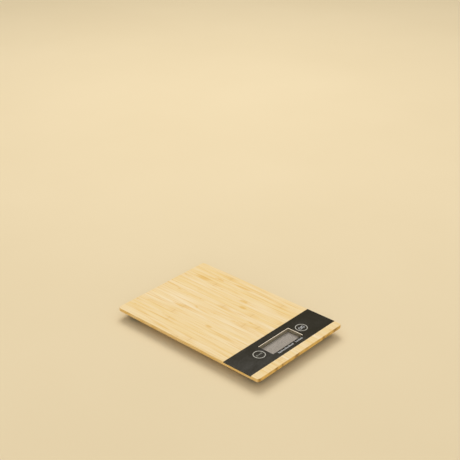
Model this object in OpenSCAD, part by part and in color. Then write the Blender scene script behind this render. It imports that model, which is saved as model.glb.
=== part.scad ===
// Slim kitchen scale: a bamboo platform on four load-cell feet, with a flush control panel,
// a recessed display, two round keys and an electronics tray with a coin-cell door underneath.
// Millimetres. +Z is up, the display end is -Y, and the origin is the centre of the footprint on the table.

/* [Platform] */
// Width of the platform
platform_w = 150; // [146:1:156]
// Length of the platform
platform_l = 226; // [214:1:240]
// Height of the weighing surface above the table
overall_h = 15; // [15:0.5:17]
// Thickness of the bamboo board
board_t = 5; // [5:0.1:5.5]
// Radius of the platform's corners in plan
corner_r = 4; // [2:0.5:8]

/* [Control panel] */
// Distance from the front edge to the panel
panel_front = 10.7; // [10:0.1:12]
// Depth of the panel from front to back
panel_depth = 41; // [40:0.5:42]
// Thickness of the panel
panel_t = 1; // [0.8:0.1:1.2]
// How far the panel lies below the wood's surface
panel_sink = 0.1; // [0.05:0.05:0.2]
// Width of the display window
window_w = 52.4; // [50:0.1:52.6]
// Depth of the display window from front to back
window_l = 21.5; // [20:0.1:22]
// Depth of the recess from the panel's top to the lens
recess_h = 4.4; // [4.3:0.1:4.5]

/* [Keys] */
// Diameter of each key's cap
key_d = 15.2; // [14:0.1:15.2]
// Distance of each key from the centre line
key_x = 37.6; // [37.4:0.1:38]
// How far a key travels when it is pressed
key_travel = 0.35; // [0.2:0.05:0.4]

/* [Feet] */
// Distance of each foot's axis from the platform's edges
foot_inset = 18; // [17.5:0.1:18.5]
// Diameter of each corner housing
pod_d = 26; // [25.6:0.1:26]
// Diameter of each moving foot
foot_d = 14; // [13:0.1:14]
// Diameter of each rubber pad
pad_d = 12; // [10:0.1:12]
// How far a foot travels at full load
foot_travel = 0.3; // [0.1:0.05:0.35]

/* [Electronics tray] */
// Width of the tray
tray_w = 108; // [106:1:108]
// Clearance between the tray and the table
tray_gap = 2; // [1.8:0.1:2]
// Wall thickness of the tray
tray_wall = 1.4; // [1.2:0.1:1.4]

/* [Battery] */
// Diameter of the coin cell
cell_d = 20; // [19.8:0.1:20]
// Thickness of the coin cell
cell_t = 3.2; // [2.8:0.1:3.2]

/* [Hidden] */
$fn = 64;
// Small distance by which a cutting solid runs past the face it cuts
cut = 1;

// Levels, from the table up
board_bottom = overall_h - board_t;
panel_top = overall_h - panel_sink;
panel_bottom = panel_top - panel_t;
tape_t = 0.2;
rebate_floor = panel_bottom - tape_t;
lens_t = 0.7;
lens_top = panel_top - recess_h;
lens_bottom = lens_top - lens_t;
glass_t = 0.9;
rear_glass_top = lens_bottom - glass_t;
rear_glass_bottom = rear_glass_top - glass_t;
film_t = 0.15;
pcb_t = 1.2;
pcb_top = board_bottom - 4;
pcb_bottom = pcb_top - pcb_t;
floor_t = 1.2;
floor_top = tray_gap + floor_t;

// Places in plan
front_y = -platform_l / 2;
panel_y = front_y + panel_front + panel_depth / 2;
foot_x = platform_w / 2 - foot_inset;
foot_y = platform_l / 2 - foot_inset;

// Display stack
board_window_gap = 0.2;
glass_w = window_w + 2.8;
glass_l = window_l + 4.5;
rear_glass_l = window_l - 0.5;
frame_gap = 0.2;
frame_w = glass_w + 2.8;
frame_l = glass_l + 2;
frame_top = lens_bottom - 0.1;
shelf_w = 1.6;
zebra_l = glass_w - 1.6;
zebra_t = 2;
zebra_y = rear_glass_l / 2 + 0.3 + zebra_t / 2;

// Keys and switches
key_r = key_d / 2;
key_hole_r = key_r + 0.2;
key_wall = 1.3;
key_top_t = 1.4;
key_bottom = board_bottom - 1.2;
key_ear_gap = 0.2;
key_ear_w = 5;
key_ear_reach = key_r + 1.9;
switch_w = 6;
switch_h = 2.5;
switch_top = pcb_top + switch_h;
plunger_r = 1.7;
plunger_h = 0.6;
plunger_depth = 0.2;
plunger_play = 0.1;
key_post_r = 2.2;

// Tray
tray_front = front_y + 9.5;
tray_back = front_y + 76.5;
tray_l = tray_back - tray_front;
tray_y = (tray_front + tray_back) / 2;
notch_r = pod_d / 2 + 0.4;
boss_r = 2.5;
pilot_r = 0.85;
tray_screws_at = [[38, tray_front + 4], [44, tray_back - 5]];
tray_screw_r = 1.05;
tray_head_r = 2;
tray_head_t = 1.2;
tray_screw_tip = board_bottom + 2.4;

// Circuit board
pcb_w = 88;
pcb_front = tray_front + 6.9;
pcb_back = tray_front + 37.3;
pcb_notch_r = notch_r + tray_wall + 0.4;
board_screws_at = [[32.5, panel_y - 11.7], [41, panel_y + 12.3]];
board_screw_r = 0.8;
board_head_r = 1.5;
board_head_t = 0.9;
post_r = 2.2;

// Battery compartment and door
door_w = 28;
door_l = 25;
door_play = 0.2;
cell_y = tray_back - 15;
door_front = cell_y - door_l / 2;
door_back = cell_y + door_l / 2;
cell_bottom = floor_top + 0.1;
cell_top = cell_bottom + cell_t;
cell_cap_r = cell_d / 2 - 1.5;
cell_cap_t = 0.2;
pocket_r = cell_d / 2 + 0.3;
pocket_wall = 1;
roof_bottom = cell_top + 0.5;
roof_t = 1;
roof_top = roof_bottom + roof_t;
tab_x = 8;
tab_w = 4;
tab_reach = 1.8;
tab_bottom = floor_top + 0.15;
tab_t = 0.8;
latch_w = 8;
latch_t = 1.3;
latch_top = floor_top + 1.8;
hook_reach = 0.7;
hook_bottom = floor_top + 0.2;
hook_t = 0.8;
contact_t = 0.25;
contact_w = 6;

// Corner pods, from the bottom up
pod_bottom = board_bottom - 5.4;
pod_waist = board_bottom - 4;
pod_low_r = pod_d / 2 - 1.2;
lip_top = board_bottom - 4.6;
lip_r = foot_d / 2 + 0.3;
flange_r = foot_d / 2 + 1;
flange_bottom = lip_top + 0.2;
flange_t = 1;
cell_seat = flange_bottom + flange_t + foot_travel + 0.5;
well_r = flange_r + 0.4;
cavity_r = pod_d / 2 - 1.4;
pod_screw_y = 9.8;
pod_boss_r = 2;
pod_screw_hole_r = 1.05;
pod_head_r = 1.7;
pod_head_t = 0.75;
load_cell_t = 1;
load_cell_w = 18;
load_cell_l = 15;
foot_bottom = 0.8;
foot_boss_r = 2;
pad_t = 1.6;
pad_play = 0.05;
pad_chamfer = 0.4;

// Leads and the grooves that carry them
wire_d = 0.8;
wire_pitch = 1.1;
groove_w = 4;
groove_h = 1.8;
wire_z = board_bottom + 0.9;
rear_groove_x = foot_x - 8;
cover_w = 8;
cover_t = 1.2;

// Corner name, side (-1 left, 1 right) and end (-1 front, 1 rear)
CORNERS = [
  ["front_left", -1, -1],
  ["front_right", 1, -1],
  ["rear_left", -1, 1],
  ["rear_right", 1, 1]
];
CORNER_PARTS = ["pod_housing", "load_cell", "strain_gauge", "leads", "foot_cup", "foot_pad"];

// ---- Shared shapes ----

// A plate with square corners, centred in plan, from z = low to z = high
module plate(w, l, low, high) {
  translate([-w / 2, -l / 2, low]) cube([w, l, high - low]);
}

// A round solid on the Z axis from z = low to z = high
module disc(r, low, high) {
  translate([0, 0, low]) cylinder(r = r, h = high - low);
}

// A rectangle with round corners, made of circles and rectangles so that its arcs stay true
module round_rect(w, l, r) {
  square([w - 2 * r, l], center = true);
  square([w, l - 2 * r], center = true);
  for (sx = [-1, 1]) for (sy = [-1, 1])
    translate([sx * (w / 2 - r), sy * (l / 2 - r)]) circle(r = r);
}

// Puts a child at each foot's axis
module at_each_foot() {
  for (corner = CORNERS) at_foot(corner[1], corner[2]) children();
}

// Puts a child at one foot, mirrored so that its +X points outwards
module at_foot(sx, sy) {
  translate([sx * foot_x, sy * foot_y, 0]) scale_side(sx) children();
}

// Mirrors a child to the left side when side is -1
module scale_side(side) {
  if (side < 0) mirror([1, 0, 0]) children();
  else children();
}

// Both keys' places
module at_each_key() {
  for (sx = [-1, 1]) translate([sx * key_x, panel_y, 0]) children();
}

// The tray's screws
module at_each_tray_screw() {
  for (sx = [-1, 1]) for (p = tray_screws_at) translate([sx * p[0], p[1], 0]) children();
}

// The circuit board's screws
module at_each_board_screw() {
  for (sx = [-1, 1]) for (p = board_screws_at) translate([sx * p[0], p[1], 0]) children();
}

// The pods' screws
module at_each_pod_screw() {
  at_each_foot() for (sy = [-1, 1]) translate([0, sy * pod_screw_y, 0]) children();
}

// A round wire of diameter d swept along points, with a mitred ring at each point
module wire(points, d) {
  sides = 8;
  last = len(points) - 1;
  function unit(v) = v / norm(v);
  function heading(i) = unit(unit(points[i + 1] - points[i]) + unit(points[i] - points[i - 1]));
  function side_of(t) = unit(cross(t, abs(t[2]) > 0.9 ? [1, 0, 0] : [0, 0, 1]));
  ring_points = [
    for (i = [0:last])
      let (
        t = i == 0 ? unit(points[1] - points[0])
          : i == last ? unit(points[last] - points[last - 1])
          : heading(i),
        u = side_of(t),
        v = cross(t, u)
      )
        for (k = [0:sides - 1])
          points[i] + d / 2 * (cos(360 * k / sides) * u + sin(360 * k / sides) * v)
  ];
  walls = [
    for (i = [0:last - 1]) for (k = [0:sides - 1])
      [
        i * sides + k,
        (i + 1) * sides + k,
        (i + 1) * sides + (k + 1) % sides,
        i * sides + (k + 1) % sides
      ]
  ];
  start_cap = [[for (k = [0:sides - 1]) k]];
  end_cap = [[for (k = [sides - 1:-1:0]) last * sides + k]];
  polyhedron(points = ring_points, faces = concat(walls, start_cap, end_cap), convexity = 4);
}

// ---- Platform and panel ----

// Bamboo board: rebate for the panel, display window, key holes, screw holes and lead grooves
module platform_board() {
  color("BurlyWood") difference() {
    translate([0, 0, board_bottom]) linear_extrude(board_t) round_rect(platform_w, platform_l, corner_r);
    translate([0, panel_y, 0]) plate(platform_w + 2 * cut, panel_depth, rebate_floor, overall_h + cut);
    translate([0, panel_y, 0])
      plate(window_w + 2 * board_window_gap, window_l + 2 * board_window_gap, board_bottom - cut, overall_h);
    at_each_key() disc(key_hole_r, board_bottom - cut, overall_h);
    at_each_tray_screw() disc(pilot_r, board_bottom - cut, tray_screw_tip + 0.2);
    at_each_pod_screw() disc(pilot_r, board_bottom - cut, tray_screw_tip + 0.2);
    for (side = [-1, 1]) scale_side(side) lead_grooves();
  }
}

// The right side's lead grooves, cut up into the board's underside
module lead_grooves() {
  rear_end = tray_back - 14;
  translate([rear_groove_x - groove_w / 2, rear_end, board_bottom - cut])
    cube([groove_w, foot_y + 1 - rear_end, groove_h + cut]);
  inner_end = 38;
  translate([inner_end, -foot_y - groove_w / 2, board_bottom - cut])
    cube([foot_x - 5 - inner_end, groove_w, groove_h + cut]);
}

// Gloss black panel, the full width of the board
module control_panel() {
  color("#2a2824") difference() {
    translate([0, panel_y, 0]) plate(platform_w, panel_depth - 0.1, panel_bottom, panel_top);
    translate([0, panel_y, 0]) plate(window_w, window_l, panel_bottom - cut, panel_top + cut);
    at_each_key() disc(key_hole_r, panel_bottom - cut, panel_top + cut);
  }
}

// Double-sided tape under the panel
module panel_tape() {
  margin = 1;
  color("LightGray") difference() {
    translate([0, panel_y, 0])
      plate(platform_w - 2 * margin, panel_depth - 2 * margin, rebate_floor, panel_bottom);
    translate([0, panel_y, 0])
      plate(window_w + 2 * margin, window_l + 2 * margin, rebate_floor - cut, panel_bottom + cut);
    at_each_key() disc(key_hole_r + margin, rebate_floor - cut, panel_bottom + cut);
  }
}

// ---- Display ----

// Clear pane at the bottom of the window recess
module display_lens() {
  color("LightCyan", 0.5) translate([0, panel_y, 0])
    plate(window_w, window_l, lens_bottom, lens_top);
}

// Foam frame that keeps crumbs out between the display and the board
module display_gasket() {
  color("#333333") translate([0, panel_y, 0]) difference() {
    plate(frame_w - 0.4, frame_l - 0.4, frame_top, board_bottom);
    plate(glass_w + 2 * frame_gap, glass_l + 2 * frame_gap, frame_top - cut, board_bottom + cut);
  }
}

// Front glass of the display, with a contact ledge along each long side
module lcd_front_glass() {
  color("#aca299", 0.8) translate([0, panel_y, 0]) plate(glass_w, glass_l, rear_glass_top, lens_bottom);
}

// Rear glass of the display
module lcd_rear_glass() {
  color("#9ea096", 0.8) translate([0, panel_y, 0]) plate(glass_w, rear_glass_l, rear_glass_bottom, rear_glass_top);
}

// Reflector film under the rear glass
module lcd_reflector() {
  color("Silver") translate([0, panel_y, 0])
    plate(glass_w - 1, rear_glass_l - 1, rear_glass_bottom - film_t, rear_glass_bottom);
}

// Moulded frame around the glasses, with a shelf under each short end
module lcd_frame() {
  shelf_top = rear_glass_bottom - film_t - 0.05;
  color("WhiteSmoke") translate([0, panel_y, 0]) {
    difference() {
      plate(frame_w, frame_l, pcb_top, frame_top);
      plate(glass_w + 2 * frame_gap, glass_l + 2 * frame_gap, pcb_top - cut, frame_top + cut);
    }
    for (sx = [-1, 1])
      translate([sx * (frame_w / 2 - shelf_w), 0, 0])
        plate(2 * shelf_w, rear_glass_l - 2, pcb_top, shelf_top);
  }
}

// Two rubber connectors standing between the circuit board and the front glass
module zebra_strips() {
  color("#4a4a4a") for (sy = [-1, 1])
    translate([0, panel_y + sy * zebra_y, 0]) plate(zebra_l, zebra_t, pcb_top, rear_glass_top);
}

// ---- Circuit board and what is on it ----

// Circuit board, cut back around the front pods
module circuit_board() {
  color("DarkGreen") difference() {
    translate([-pcb_w / 2, pcb_front, pcb_bottom]) cube([pcb_w, pcb_back - pcb_front, pcb_t]);
    for (sx = [-1, 1]) at_foot(sx, -1) disc(pcb_notch_r, pcb_bottom - cut, pcb_top + cut);
    at_each_board_screw() disc(board_screw_r + 0.15, pcb_bottom - cut, pcb_top + cut);
  }
}

// Controller chip under a drop of black resin
module chip_blob() {
  drop_r = 4.5;
  drop_h = 1.3;
  ball_r = (drop_r * drop_r + drop_h * drop_h) / (2 * drop_h);
  color("#151515") translate([0, panel_y, pcb_top]) rotate_extrude() intersection() {
    translate([0, drop_h - ball_r]) circle(r = ball_r);
    square([drop_r + cut, drop_h + cut]);
  }
}

// Timing crystal, a small can lying on the circuit board
module crystal() {
  can_r = 1;
  can_l = 6;
  color("Silver") translate([-32, panel_y + 6, pcb_top + can_r])
    rotate([-90, 0, 0]) cylinder(r = can_r, h = can_l);
}

// Row of small two-terminal chips, n of them, each w by l by h
module chip_row(n, pitch, w, l, h) {
  for (i = [0:n - 1]) translate([0, i * pitch, 0]) plate(w, l, pcb_top, pcb_top + h);
}

// Ceramic capacitors
module capacitors() {
  color("Tan") {
    translate([32, panel_y + 5, 0]) chip_row(4, 2.2, 2, 1.25, 0.8);
    translate([-43, panel_y - 4, 0]) chip_row(3, 2.2, 1.2, 1.25, 0.8);
  }
}

// Resistors
module resistors() {
  color("#1c1c1c") {
    translate([32, panel_y - 7, 0]) chip_row(6, 1.7, 1.6, 0.8, 0.5);
    translate([-32, panel_y - 7, 0]) chip_row(6, 1.7, 1.6, 0.8, 0.5);
  }
}

// Bodies of the two tact switches, each with a well for its plunger
module switch_bodies() {
  well_depth = plunger_depth + key_travel + 0.15;
  color("#202020") at_each_key() difference() {
    plate(switch_w, switch_w, pcb_top, switch_top);
    disc(plunger_r + plunger_play, switch_top - well_depth, switch_top + cut);
  }
}

// A tact switch's plunger
module plunger(sx) {
  color("Ivory") translate([sx * key_x, panel_y, 0])
    disc(plunger_r, switch_top - plunger_depth, switch_top + plunger_h);
}
module unit_plunger() {
  plunger(-1);
}
module tare_plunger() {
  plunger(1);
}

// A key: a cap like an upturned cup, two ears that hold it under the board, and a post to its switch
module key_cap(sx) {
  color("#2c2a26") translate([sx * key_x, panel_y, 0]) {
    difference() {
      disc(key_r, key_bottom, panel_top);
      disc(key_r - key_wall, key_bottom - cut, panel_top - key_top_t);
    }
    disc(key_post_r, switch_top + plunger_h, panel_top - key_top_t);
    for (sy = [-1, 1]) translate([0, sy * (key_ear_reach + key_r - key_wall) / 2, 0])
      plate(key_ear_w, key_ear_reach - key_r + key_wall, key_bottom, board_bottom - key_ear_gap);
  }
}
module unit_key() {
  key_cap(-1);
}
module tare_key() {
  key_cap(1);
}

// ---- Electronics tray ----

// The tray's outline in plan, inset by a distance, cut back around the two front pods
module tray_outline(inset) {
  difference() {
    translate([0, tray_y]) square([tray_w - 2 * inset, tray_l - 2 * inset], center = true);
    for (sx = [-1, 1]) translate([sx * foot_x, -foot_y]) circle(r = notch_r + inset);
  }
}

// Moulded tray: floor, walls, screw bosses, circuit board posts and the battery compartment
module electronics_tray() {
  color("#26262a") difference() {
    union() {
      translate([0, 0, tray_gap]) linear_extrude(floor_t) tray_outline(0);
      difference() {
        translate([0, 0, tray_gap]) linear_extrude(board_bottom - tray_gap) tray_outline(0);
        translate([0, 0, floor_top]) linear_extrude(board_bottom) tray_outline(tray_wall);
      }
      at_each_tray_screw() disc(boss_r, tray_gap, board_bottom);
      at_each_board_screw() disc(post_r, tray_gap, pcb_bottom);
      translate([0, cell_y, 0])
        plate(door_w + 2 * tray_wall, door_l + 2 * tray_wall, tray_gap, roof_top);
    }
    translate([0, cell_y, 0]) difference() {
      plate(door_w, door_l, tray_gap - cut, roof_bottom);
      difference() {
        disc(pocket_r + pocket_wall, cell_bottom + 0.3, roof_bottom + cut);
        disc(pocket_r, 0, roof_bottom + cut);
        translate([-latch_w / 2 - 0.3, 0, 0]) cube([latch_w + 0.6, door_l, latch_top + 0.4]);
      }
    }
    tab_slots();
    latch_slot();
    contact_slots();
    at_each_tray_screw() {
      disc(tray_screw_r + 0.1, tray_gap - cut, board_bottom + cut);
      disc(tray_head_r + 0.2, tray_gap - cut, tray_gap + tray_head_t + 0.1);
    }
    at_each_board_screw() disc(board_screw_r + 0.05, floor_top, pcb_bottom + cut);
  }
}

// Slots in the compartment's front wall for the door's two tabs
module tab_slots() {
  for (sx = [-1, 1])
    translate([sx * tab_x - tab_w / 2 - 0.4, door_front - tray_wall - cut, floor_top])
      cube([tab_w + 0.8, tray_wall + 2 * cut, 2.2]);
}

// Slot in the compartment's rear wall for the latch's hook, and a fingernail hollow below it
module latch_slot() {
  translate([-latch_w / 2 - 0.3, door_back - cut, floor_top])
    cube([latch_w + 0.6, hook_reach + cut + 0.2, hook_t + 0.6]);
  nail_r = 6;
  nail_depth = 0.7;
  translate([0, door_back - 3, tray_gap - cut]) cylinder(r = nail_r, h = nail_depth + cut);
}

// Slots for the two battery contacts
module contact_slots() {
  slot_w = contact_w + 0.6;
  translate([cell_d / 2 - 0.1, cell_y - slot_w / 2, cell_bottom]) cube([2, slot_w, roof_top]);
  translate([-cell_d / 2 - 1.6, cell_y - slot_w / 2, cell_bottom + 1]) cube([2.2, slot_w, roof_top]);
}

// ---- Battery and its door ----

// Door plate with two hooked tabs at its front edge and a gap for the latch
module battery_door() {
  plate_w = door_w - 2 * door_play;
  plate_l = door_l - 2 * door_play;
  color("#2b2b30") {
    difference() {
      translate([0, cell_y, 0]) plate(plate_w, plate_l, tray_gap, floor_top);
      translate([-latch_w / 2, door_back - door_play - latch_t - 0.8, tray_gap - cut])
        cube([latch_w, latch_t + 2, floor_t + 2 * cut]);
    }
    for (sx = [-1, 1]) translate([sx * tab_x - tab_w / 2, door_front, 0]) {
      translate([0, door_play, floor_top]) cube([tab_w, 1.8, tab_bottom - floor_top + tab_t]);
      translate([0, -tab_reach, tab_bottom]) cube([tab_w, tab_reach + 1, tab_t]);
    }
  }
}

// The door's sprung tongue, with the hook that holds the door shut
module door_latch() {
  tongue_y = door_back - door_play - latch_t;
  color("#2b2b30") {
    translate([-latch_w / 2, tongue_y - 0.8, tray_gap]) cube([latch_w, 0.8, 0.8]);
    translate([-latch_w / 2, tongue_y, tray_gap]) cube([latch_w, latch_t, latch_top - tray_gap]);
    translate([-latch_w / 2, tongue_y + latch_t - 0.1, hook_bottom])
      cube([latch_w, hook_reach + 0.1, hook_t]);
  }
}

// Coin cell: a can with a slightly smaller cap on top
module coin_cell() {
  color("Silver") translate([0, cell_y, 0]) {
    disc(cell_d / 2, cell_bottom, cell_top - cell_cap_t);
    disc(cell_cap_r, cell_top - cell_cap_t - 0.1, cell_top);
  }
}

// Side spring on the cell's can, with a tail up through the roof
module battery_contact_plus() {
  color("Gold") translate([cell_d / 2 + 0.02, cell_y - contact_w / 2, cell_bottom + 0.4])
    cube([contact_t, contact_w, roof_top + 0.8 - cell_bottom - 0.4]);
}

// Leaf over the cell's cap, with a pimple that touches it and a tail up through the roof
module battery_contact_minus() {
  leaf_bottom = cell_top + 0.15;
  color("Gold") {
    translate([-cell_d / 2 - 0.8, cell_y - contact_w / 2, leaf_bottom])
      cube([cell_d / 2 + 4, contact_w, contact_t]);
    translate([-cell_d / 2 - 0.8, cell_y - contact_w / 2, leaf_bottom])
      cube([contact_t, contact_w, roof_top + 0.8 - leaf_bottom]);
    translate([0, cell_y, 0]) disc(0.8, cell_top, leaf_bottom + 0.1);
  }
}

// Two wires from the contacts' tails over the compartment's roof to the circuit board
module battery_leads() {
  z = roof_top + 0.5;
  for (side = [-1, 1]) color(side > 0 ? "Red" : "Black") scale_side(side)
    wire(
      [
        [cell_d / 2 + 1.4, cell_y, z],
        [14, cell_y - 2, z],
        [18, cell_y - 6, z + 0.2],
        [24, cell_y - 12, z],
        [29, cell_y - 15, z - 0.7],
        [31.5, cell_y - 16.5, pcb_top + 1],
        [32.5, cell_y - 17, pcb_top + 0.5]
      ],
      wire_d
    );
}

// ---- Screws ----

// Screw with a flat head at the bottom, from z = head_low to z = tip
module screw_up(r, head_r, head_low, head_t, tip) {
  disc(head_r, head_low, head_low + head_t);
  disc(r, head_low + head_t - 0.1, tip);
}

// Four screws that hold the tray to the board
module tray_screws() {
  color("DimGray") at_each_tray_screw()
    screw_up(pilot_r, tray_head_r, tray_gap + 0.1, tray_head_t, tray_screw_tip);
}

// Four screws that hold the circuit board to the tray's posts
module board_screws() {
  color("Silver") at_each_board_screw() {
    disc(board_head_r, pcb_top, pcb_top + board_head_t);
    disc(board_screw_r, floor_top, pcb_top + 0.1);
  }
}

// Eight screws that hold the pods to the board
module pod_screws() {
  color("DimGray") at_each_pod_screw()
    screw_up(pilot_r, pod_head_r, pod_bottom + 0.05, pod_head_t, tray_screw_tip);
}

// ---- Corner pods ----

// Housing: a stepped ring with a lip that keeps the foot in and a seat for the load cell
module pod_housing(sx, sy) {
  color("#26262a") at_foot(sx, sy) difference() {
    union() {
      difference() {
        union() {
          translate([0, 0, pod_bottom])
            cylinder(r1 = pod_low_r, r2 = pod_d / 2, h = pod_waist - pod_bottom);
          disc(pod_d / 2, pod_waist, board_bottom);
        }
        disc(cavity_r, cell_seat, board_bottom + cut);
      }
      for (s = [-1, 1]) translate([0, s * pod_screw_y, 0]) disc(pod_boss_r, cell_seat - 0.1, board_bottom);
    }
    disc(well_r, lip_top, cell_seat + cut);
    disc(lip_r, pod_bottom - cut, lip_top + cut);
    for (s = [-1, 1]) translate([0, s * pod_screw_y, 0]) {
      disc(pod_screw_hole_r, pod_bottom - cut, board_bottom + cut);
      disc(pod_head_r + 0.1, pod_bottom - cut, pod_bottom + pod_head_t + 0.05);
    }
  }
}

// Load cell: a steel stamping with a slot on three sides of the tongue that the foot pushes
module load_cell(sx, sy) {
  tongue_w = 9;
  tongue_l = 6;
  slot = 1;
  color("LightSteelBlue") at_foot(sx, sy) difference() {
    intersection() {
      plate(load_cell_w, load_cell_l, cell_seat, cell_seat + load_cell_t);
      disc(cavity_r - 0.2, cell_seat, cell_seat + load_cell_t);
    }
    difference() {
      plate(tongue_w + 2 * slot, tongue_l + 2 * slot, cell_seat - cut, cell_seat + load_cell_t + cut);
      translate([-slot, 0, 0])
        plate(tongue_w + 2 * slot, tongue_l, cell_seat - 2 * cut, cell_seat + load_cell_t + 2 * cut);
    }
    for (s = [-1, 1]) translate([0, s * pod_screw_y, 0])
      disc(pod_boss_r + 0.2, cell_seat - cut, cell_seat + load_cell_t + cut);
  }
}

// Strain gauge under its potting, on the tongue's root
module strain_gauge(sx, sy) {
  z = cell_seat + load_cell_t;
  color("White") at_foot(sx, sy) translate([-3.2, 0, 0]) {
    plate(5, 4, z, z + 0.5);
    plate(4, 3, z + 0.4, z + 0.8);
  }
}

// Foot: a short plunger with a flange that the lip keeps in, a boss under the load cell's tongue
// and a pocket for its pad
module foot_cup(sx, sy) {
  color("#303034") at_foot(sx, sy) difference() {
    union() {
      disc(foot_d / 2, foot_bottom, flange_bottom + flange_t);
      disc(flange_r, flange_bottom, flange_bottom + flange_t);
      disc(foot_boss_r, flange_bottom, cell_seat);
    }
    disc(pad_d / 2 + pad_play, foot_bottom - cut, pad_t);
  }
}

// Rubber pad that stands on the table
module foot_pad(sx, sy) {
  color("#1a1a1a") at_foot(sx, sy) {
    disc(pad_d / 2, pad_chamfer, pad_t);
    cylinder(r1 = pad_d / 2 - pad_chamfer, r2 = pad_d / 2, h = pad_chamfer);
  }
}

// ---- Leads ----

// A load cell's three wires, whole, from the gauge to the circuit board
module leads(sx, sy) {
  for (i = [-1, 0, 1]) color(["Red", "White", "Black"][i + 1]) scale_side(sx)
    wire(sy < 0 ? front_route(i * wire_pitch) : rear_route(i * wire_pitch), wire_d);
}

// Route of a front lead: out of the pod through its groove and down to the circuit board
function front_route(offset) =
  let (y = -foot_y + offset, near = -foot_y + 0.8 * offset, top = cell_seat + load_cell_t)
    [
      [foot_x - 6.2, near, top + 0.5],
      [foot_x - 7.2, near, top + 0.6],
      [foot_x - 8, near, top + 1.2],
      [foot_x - 8.8, y, wire_z - 0.2],
      [foot_x - 10, y, wire_z],
      [foot_x - 15, y, wire_z],
      [foot_x - 16.6, y, wire_z - 0.4],
      [foot_x - 17.6, y, wire_z - 1.6],
      [foot_x - 18.2, y, pcb_top + 2],
      [foot_x - 19, y, pcb_top + 0.9],
      [foot_x - 20.4, y, pcb_top + 0.5]
    ];

// Route of a rear lead: out of the pod, along the side groove and down to the circuit board
function rear_route(offset) =
  let (x = rear_groove_x - offset, near = foot_y + 0.8 * offset, top = cell_seat + load_cell_t)
    [
      [foot_x - 6.2, near, top + 0.5],
      [x + 0.4, near - 0.2, top + 0.5],
      [x, near - 1.2, top + 0.6],
      [x, foot_y - 3, top + 1],
      [x, foot_y - 5, wire_z - 0.7],
      [x, foot_y - 7, wire_z],
      [x, foot_y - 60, wire_z],
      [x, tray_back - 4, wire_z],
      [x, tray_back - 7, wire_z - 0.4],
      [x, tray_back - 10, wire_z - 1.7],
      [x - 2, tray_back - 15, pcb_top + 3],
      [x - 6, tray_back - 20, pcb_top + 2.6],
      [x - 11.4, tray_back - 27, pcb_top + 1.8],
      [x - 13, tray_back - 31, pcb_top + 0.9],
      [x - 13.4, tray_back - 33, pcb_top + 0.5]
    ];

// Strip over a rear lead's groove, from the tray to the rear pod
module lead_cover(side) {
  start = tray_back + 0.3;
  color("#26262a") scale_side(side) difference() {
    translate([rear_groove_x - cover_w / 2, start, board_bottom - cover_t])
      cube([cover_w, foot_y - start, cover_t]);
    translate([foot_x, foot_y, 0]) disc(pod_d / 2 + 0.3, 0, overall_h);
  }
}
module lead_cover_left() {
  lead_cover(-1);
}
module lead_cover_right() {
  lead_cover(1);
}

// ---- Nodes ----

platform_board();
control_panel();
panel_tape();
display_lens();
display_gasket();
lcd_front_glass();
lcd_rear_glass();
lcd_reflector();
lcd_frame();
zebra_strips();
circuit_board();
chip_blob();
crystal();
capacitors();
resistors();
switch_bodies();
unit_plunger();
tare_plunger();
unit_key();
tare_key();
electronics_tray();
battery_door();
door_latch();
coin_cell();
battery_contact_plus();
battery_contact_minus();
battery_leads();
tray_screws();
board_screws();
pod_screws();
lead_cover_left();
lead_cover_right();
for (corner = CORNERS) {
  pod_housing(corner[1], corner[2]);
  load_cell(corner[1], corner[2]);
  strain_gauge(corner[1], corner[2]);
  leads(corner[1], corner[2]);
  foot_cup(corner[1], corner[2]);
  foot_pad(corner[1], corner[2]);
}
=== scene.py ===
import math

import bmesh
import bpy
from mathutils import Matrix, Vector


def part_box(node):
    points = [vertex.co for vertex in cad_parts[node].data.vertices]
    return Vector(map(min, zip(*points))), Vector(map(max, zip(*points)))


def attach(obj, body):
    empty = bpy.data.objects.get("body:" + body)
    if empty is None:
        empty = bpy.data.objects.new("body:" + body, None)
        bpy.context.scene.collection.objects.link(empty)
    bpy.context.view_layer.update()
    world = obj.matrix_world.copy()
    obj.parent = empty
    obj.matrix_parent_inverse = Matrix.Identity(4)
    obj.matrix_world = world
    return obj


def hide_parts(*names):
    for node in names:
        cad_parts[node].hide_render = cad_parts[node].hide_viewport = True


# The scale lies flat: X across, Y from the display end to the rear, Z up from the table. Every place
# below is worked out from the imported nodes' boxes.

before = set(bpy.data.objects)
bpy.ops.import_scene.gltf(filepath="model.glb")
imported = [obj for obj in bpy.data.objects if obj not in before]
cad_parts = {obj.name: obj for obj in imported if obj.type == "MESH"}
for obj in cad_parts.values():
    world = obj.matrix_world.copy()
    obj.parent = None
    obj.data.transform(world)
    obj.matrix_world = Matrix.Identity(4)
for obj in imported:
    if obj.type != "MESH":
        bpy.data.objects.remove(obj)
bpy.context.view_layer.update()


# ---- Camera ----
# A tripod off the display end's left corner: the camera looks down at the platform and past it, so the
# scale sits low in the frame. The long lens keeps its edges nearly parallel.


def direction(heading, rise):
    """Unit vector: heading is clockwise from +Y seen from above, rise is above the horizon, in degrees."""
    h, r = math.radians(heading), math.radians(rise)
    return Vector((math.sin(h) * math.cos(r), math.cos(h) * math.cos(r), math.sin(r)))


board_low, board_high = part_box("platform_board")
top_centre = Vector((0, 0, board_high.z))
stand_heading = 180 + 47.11
stand_rise = 31.95
stand_distance = 1.2251
aim_heading = 47.28
aim_drop = 27.16
camera_roll = -0.55

camera_data = bpy.data.cameras.new("stand_camera")
camera_data.lens = 79.84
camera_data.sensor_width = 36
camera = bpy.data.objects.new("stand_camera", camera_data)
bpy.context.scene.collection.objects.link(camera)
camera.location = top_centre + stand_distance * direction(stand_heading, stand_rise)
aim = direction(aim_heading, -aim_drop).to_track_quat("-Z", "Y").to_matrix()
camera.rotation_euler = (aim @ Matrix.Rotation(math.radians(camera_roll), 3, "Z")).to_euler()
bpy.context.scene.camera = camera


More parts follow.
